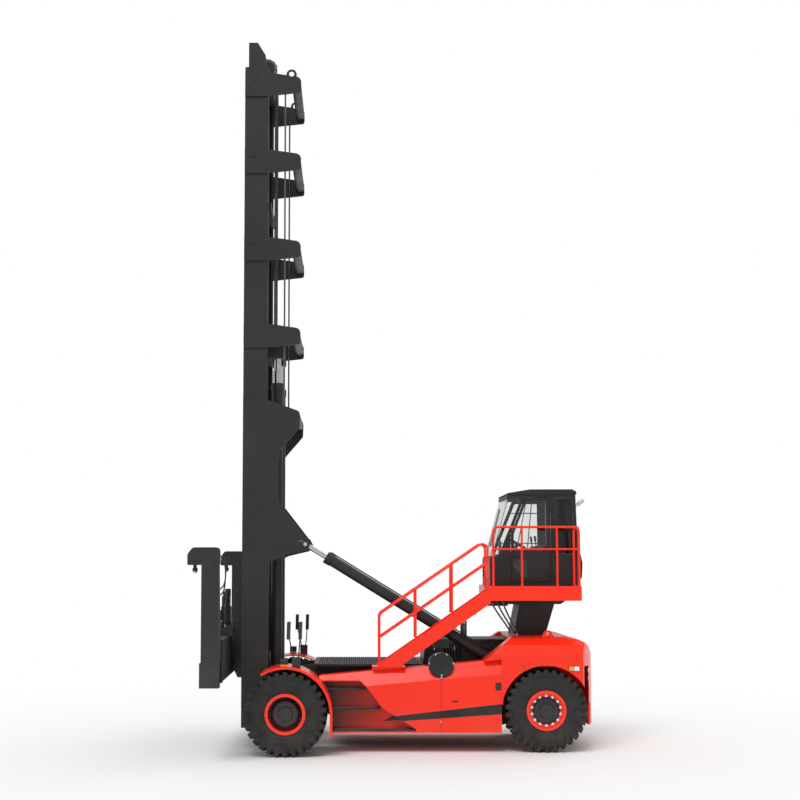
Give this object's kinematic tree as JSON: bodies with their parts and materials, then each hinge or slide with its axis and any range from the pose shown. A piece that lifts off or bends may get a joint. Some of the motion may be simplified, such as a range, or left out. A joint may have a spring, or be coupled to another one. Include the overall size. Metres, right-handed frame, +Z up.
{
  "type": "empty container handler",
  "caption": "Wheeled industrial lift truck with a tall two-stage mast, telescopic side-lift spreader, raised rear cab, stairs and counterweight, for stacking empty freight containers.",
  "frame": {"origin": "centre of the machine's bounding box at ground level", "axes": "+X forward, towards the mast and spreader; +Y to the left; +Z up"},
  "size_m": [6.87, 6.1, 12.55],
  "materials": {
    "red_paint": "gloss",
    "black_paint": "satin",
    "mast_paint": "satin",
    "cylinder_chrome": "polished",
    "steel": "satin",
    "engine_iron": "matte",
    "tyre_rubber": "matte",
    "clear_glass": "polished",
    "black_plastic": "matte",
    "seat_fabric": "matte",
    "lamp_plastic": "gloss"
  },
  "bodies": {
    "chassis": {"chassis_frame": "black_paint", "drive_axle": "black_paint", "steer_axle": "black_paint", "engine": "engine_iron", "engine_hood": "black_paint", "side_panel_left": "red_paint", "side_panel_right": "red_paint", "air_cleaner": "black_paint", "exhaust_pipe": "steel", "front_fenders": "red_paint", "counterweight": "red_paint", "lifting_lugs": "red_paint", "cab_pedestal": "black_paint", "platform": "red_paint", "stairs": "red_paint", "handrails": "red_paint", "cab_shell": "black_paint", "cab_roof": "black_paint", "cab_glass": "clear_glass", "operator_seat": "seat_fabric", "cab_controls": "black_plastic", "lamps": "lamp_plastic", "mirrors": "black_plastic"},
    "cab_door": {"cab_door": "black_paint", "door_glass": "clear_glass"},
    "front_wheel_left": {"front_tyres_left": "tyre_rubber", "front_wheel_left": "red_paint"},
    "front_wheel_right": {"front_tyres_right": "tyre_rubber", "front_wheel_right": "red_paint"},
    "steer_left": {"steer_knuckle_left": "black_paint"},
    "steer_right": {"steer_knuckle_right": "black_paint"},
    "rear_wheel_left": {"rear_tyre_left": "tyre_rubber", "rear_wheel_left": "red_paint"},
    "rear_wheel_right": {"rear_tyre_right": "tyre_rubber", "rear_wheel_right": "red_paint"},
    "mast_outer": {"mast_outer_uprights": "mast_paint", "mast_yoke_arms": "mast_paint", "mast_cross_pipes": "mast_paint", "mast_foot": "mast_paint", "lift_ram_barrels": "mast_paint", "mast_hydraulic_lines": "steel"},
    "ram_stages": {"lift_ram_stages": "cylinder_chrome"},
    "mast_inner": {"mast_inner_uprights": "mast_paint", "mast_inner_ties": "mast_paint", "lift_ram_rods": "cylinder_chrome", "chain_sheaves": "mast_paint", "lift_chains": "steel"},
    "carriage": {"carriage": "mast_paint"},
    "spreader": {"spreader_beam": "mast_paint"},
    "arm_left": {"spreader_arm_left": "mast_paint", "spreader_leg_left": "mast_paint"},
    "arm_right": {"spreader_arm_right": "mast_paint", "spreader_leg_right": "mast_paint"},
    "tilt_barrel_left": {"tilt_barrel_left": "mast_paint"},
    "tilt_barrel_right": {"tilt_barrel_right": "mast_paint"},
    "tilt_rod_left": {"tilt_rod_left": "cylinder_chrome"},
    "tilt_rod_right": {"tilt_rod_right": "cylinder_chrome"}
  },
  "joints": [
    {"name": "front_wheel_left_spin", "type": "hinge", "parent": "chassis", "child": "front_wheel_left", "pos_m": [1.915, 1.6475, 0.7], "axis": [0, 1, 0], "continuous": true},
    {"name": "front_wheel_right_spin", "type": "hinge", "parent": "chassis", "child": "front_wheel_right", "pos_m": [1.915, -1.6475, 0.7], "axis": [0, 1, 0], "continuous": true},
    {"name": "steer_left", "type": "hinge", "parent": "chassis", "child": "steer_left", "pos_m": [-2.485, 1.125, 0.7], "axis": [0, 0, 1], "range_deg": [-60, 60]},
    {"name": "rear_wheel_left_spin", "type": "hinge", "parent": "steer_left", "child": "rear_wheel_left", "pos_m": [-2.485, 1.245, 0.7], "axis": [0, 1, 0], "continuous": true},
    {"name": "steer_right", "type": "hinge", "parent": "chassis", "child": "steer_right", "pos_m": [-2.485, -1.125, 0.7], "axis": [0, 0, 1], "range_deg": [-60, 60]},
    {"name": "rear_wheel_right_spin", "type": "hinge", "parent": "steer_right", "child": "rear_wheel_right", "pos_m": [-2.485, -1.245, 0.7], "axis": [0, 1, 0], "continuous": true},
    {"name": "mast_tilt", "type": "hinge", "parent": "chassis", "child": "mast_outer", "pos_m": [2.065, 0, 1.02], "axis": [0, 1, 0], "range_deg": [-4, 3]},
    {"name": "tilt_barrel_left", "type": "hinge", "parent": "chassis", "child": "tilt_barrel_left", "pos_m": [-1.685, 0.81, 1.49], "axis": [0, 1, 0], "range_deg": [-1.2, 1]},
    {"name": "tilt_rod_left", "type": "slide", "parent": "tilt_barrel_left", "child": "tilt_rod_left", "axis": [0.8523, 0, 0.523], "range_m": [-0.17, 0.13]},
    {"name": "tilt_barrel_right", "type": "hinge", "parent": "chassis", "child": "tilt_barrel_right", "pos_m": [-1.685, -0.81, 1.49], "axis": [0, 1, 0], "range_deg": [-1.2, 1]},
    {"name": "tilt_rod_right", "type": "slide", "parent": "tilt_barrel_right", "child": "tilt_rod_right", "axis": [0.8523, 0, 0.523], "range_m": [-0.17, 0.13]},
    {"name": "mast_lift", "type": "slide", "parent": "mast_outer", "child": "mast_inner", "axis": [0, 0, 1], "range_m": [-0.37, 8.85]},
    {"name": "ram_stage_lift", "type": "slide", "parent": "mast_outer", "child": "ram_stages", "axis": [0, 0, 1], "range_m": [-0.185, 4.425]},
    {"name": "carriage_lift", "type": "slide", "parent": "mast_inner", "child": "carriage", "axis": [0, 0, 1], "range_m": [-0.37, 8.85]},
    {"name": "side_shift", "type": "slide", "parent": "carriage", "child": "spreader", "axis": [0, 1, 0], "range_m": [-0.4, 0.4]},
    {"name": "arm_left_extend", "type": "slide", "parent": "spreader", "child": "arm_left", "axis": [0, 1, 0], "range_m": [0, 3.066]},
    {"name": "arm_right_extend", "type": "slide", "parent": "spreader", "child": "arm_right", "axis": [0, -1, 0], "range_m": [0, 3.066]},
    {"name": "cab_door_swing", "type": "hinge", "parent": "chassis", "child": "cab_door", "pos_m": [-2.685, 0.77, 3.5], "axis": [0, 0, 1], "range_deg": [0, 65]}
  ],
  "couplings": [
    {"joint": "steer_right", "follows": "steer_left", "ratio": 1},
    {"joint": "tilt_barrel_left", "follows": "mast_tilt", "ratio": 0.23555},
    {"joint": "tilt_rod_left", "follows": "mast_tilt", "m_per_rad": 2.3704},
    {"joint": "tilt_barrel_right", "follows": "mast_tilt", "ratio": 0.23555},
    {"joint": "tilt_rod_right", "follows": "mast_tilt", "m_per_rad": 2.3704},
    {"joint": "ram_stage_lift", "follows": "mast_lift", "ratio": 0.5},
    {"joint": "carriage_lift", "follows": "mast_lift", "ratio": 1},
    {"joint": "arm_right_extend", "follows": "arm_left_extend", "ratio": 1}
  ]
}
